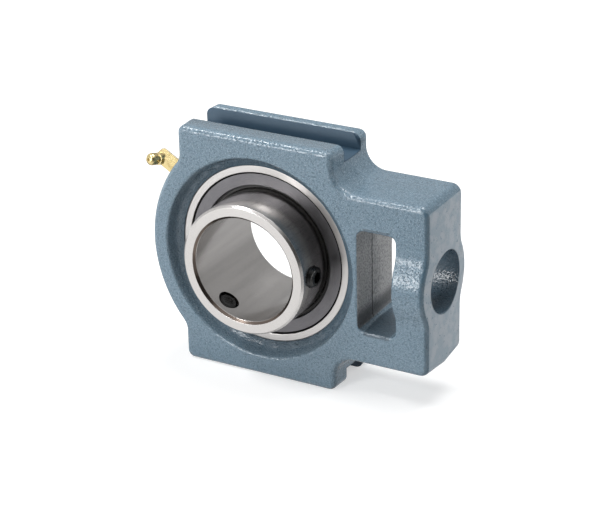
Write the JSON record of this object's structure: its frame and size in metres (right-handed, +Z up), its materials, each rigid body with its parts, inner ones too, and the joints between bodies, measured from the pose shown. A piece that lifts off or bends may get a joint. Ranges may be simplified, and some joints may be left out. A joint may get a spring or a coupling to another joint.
{
  "type": "take-up bearing unit",
  "caption": "Cast take-up housing with guide grooves, a nut window and a screw hole, holding a self-aligning ball bearing insert with a wide inner ring and set screws.",
  "frame": {"origin": "centre of the ball-shaped seat, on the shaft's axis, half way between the guide groove's two walls", "axes": "+X towards the end with the adjusting screw's hole, -Y along the shaft towards the long end of the inner ring, +Z up across the guide grooves"},
  "size_m": [0.1494, 0.0536, 0.117],
  "materials": {
    "cast_paint": "blue-grey hammered paint on cast iron",
    "ground_steel": "ground and honed bearing steel",
    "ball_steel": "lapped bearing steel",
    "sheet_steel": "pressed sheet steel",
    "shield_steel": "dark satin sheet steel",
    "seal_rubber": "matt black nitrile rubber",
    "black_steel": "black oxide steel",
    "brass": "bright turned brass"
  },
  "bodies": {
    "housing_body": {"housing": "cast_paint", "grease_nipple": "brass", "nipple_spring": "sheet_steel"},
    "check_valve": {"nipple_check_ball": "ball_steel"},
    "insert": {"outer_ring": "ground_steel", "front_shield": "shield_steel", "rear_shield": "shield_steel", "front_seal_lip": "seal_rubber", "rear_seal_lip": "seal_rubber"},
    "shaft_ring": {"inner_ring": "ground_steel"},
    "cage": {"cage_front": "sheet_steel", "cage_rear": "sheet_steel", "cage_rivets": "sheet_steel"},
    "clamp_screw_1": {"set_screw_1": "black_steel"},
    "clamp_screw_2": {"set_screw_2": "black_steel"},
    "rolling_ball_01": {"ball_01": "ball_steel"},
    "rolling_ball_02": {"ball_02": "ball_steel"},
    "rolling_ball_03": {"ball_03": "ball_steel"},
    "rolling_ball_04": {"ball_04": "ball_steel"},
    "rolling_ball_05": {"ball_05": "ball_steel"},
    "rolling_ball_06": {"ball_06": "ball_steel"},
    "rolling_ball_07": {"ball_07": "ball_steel"},
    "rolling_ball_08": {"ball_08": "ball_steel"},
    "rolling_ball_09": {"ball_09": "ball_steel"},
    "rolling_ball_10": {"ball_10": "ball_steel"}
  },
  "joints": [
    {"name": "insert_swivel", "type": "hinge", "parent": "housing_body", "child": "insert", "pos_m": [0, 0, 0], "axis": [0, 0, 1], "range_deg": [-2.5, 2.5]},
    {"name": "inner_ring_spin", "type": "hinge", "parent": "insert", "child": "shaft_ring", "pos_m": [0, 0, 0], "axis": [0, 1, 0], "continuous": true},
    {"name": "cage_spin", "type": "hinge", "parent": "insert", "child": "cage", "pos_m": [0, 0, 0], "axis": [0, 1, 0], "continuous": true},
    {"name": "ball_01_roll", "type": "hinge", "parent": "cage", "child": "rolling_ball_01", "pos_m": [0.03329, 0, 0.01082], "axis": [0, 1, 0], "continuous": true},
    {"name": "ball_02_roll", "type": "hinge", "parent": "cage", "child": "rolling_ball_02", "pos_m": [0.02057, 0, 0.02832], "axis": [0, 1, 0], "continuous": true},
    {"name": "ball_03_roll", "type": "hinge", "parent": "cage", "child": "rolling_ball_03", "pos_m": [0, 0, 0.035], "axis": [0, 1, 0], "continuous": true},
    {"name": "ball_04_roll", "type": "hinge", "parent": "cage", "child": "rolling_ball_04", "pos_m": [-0.02057, 0, 0.02832], "axis": [0, 1, 0], "continuous": true},
    {"name": "ball_05_roll", "type": "hinge", "parent": "cage", "child": "rolling_ball_05", "pos_m": [-0.03329, 0, 0.01082], "axis": [0, 1, 0], "continuous": true},
    {"name": "ball_06_roll", "type": "hinge", "parent": "cage", "child": "rolling_ball_06", "pos_m": [-0.03329, 0, -0.01082], "axis": [0, 1, 0], "continuous": true},
    {"name": "ball_07_roll", "type": "hinge", "parent": "cage", "child": "rolling_ball_07", "pos_m": [-0.02057, 0, -0.02832], "axis": [0, 1, 0], "continuous": true},
    {"name": "ball_08_roll", "type": "hinge", "parent": "cage", "child": "rolling_ball_08", "pos_m": [0, 0, -0.035], "axis": [0, 1, 0], "continuous": true},
    {"name": "ball_09_roll", "type": "hinge", "parent": "cage", "child": "rolling_ball_09", "pos_m": [0.02057, 0, -0.02832], "axis": [0, 1, 0], "continuous": true},
    {"name": "ball_10_roll", "type": "hinge", "parent": "cage", "child": "rolling_ball_10", "pos_m": [0.03329, 0, -0.01082], "axis": [0, 1, 0], "continuous": true},
    {"name": "set_screw_1_travel", "type": "slide", "parent": "shaft_ring", "child": "clamp_screw_1", "axis": [-1, 0, 0], "range_m": [-0.003, 0.0015]},
    {"name": "set_screw_2_travel", "type": "slide", "parent": "shaft_ring", "child": "clamp_screw_2", "axis": [0.5299, 0, 0.848], "range_m": [-0.003, 0.0015]},
    {"name": "check_ball_travel", "type": "slide", "parent": "housing_body", "child": "check_valve", "axis": [0.328, 0.9239, -0.1971], "range_m": [0, 0.0008], "stiffness_N_per_m": 300, "springref_m": -0.0015, "deforming": ["nipple_spring"]}
  ],
  "couplings": [
    {"joint": "cage_spin", "follows": "inner_ring_spin", "ratio": 0.40929},
    {"joint": "ball_01_roll", "follows": "inner_ring_spin", "ratio": -2.6652},
    {"joint": "ball_02_roll", "follows": "inner_ring_spin", "ratio": -2.6652},
    {"joint": "ball_03_roll", "follows": "inner_ring_spin", "ratio": -2.6652},
    {"joint": "ball_04_roll", "follows": "inner_ring_spin", "ratio": -2.6652},
    {"joint": "ball_05_roll", "follows": "inner_ring_spin", "ratio": -2.6652},
    {"joint": "ball_06_roll", "follows": "inner_ring_spin", "ratio": -2.6652},
    {"joint": "ball_07_roll", "follows": "inner_ring_spin", "ratio": -2.6652},
    {"joint": "ball_08_roll", "follows": "inner_ring_spin", "ratio": -2.6652},
    {"joint": "ball_09_roll", "follows": "inner_ring_spin", "ratio": -2.6652},
    {"joint": "ball_10_roll", "follows": "inner_ring_spin", "ratio": -2.6652}
  ]
}
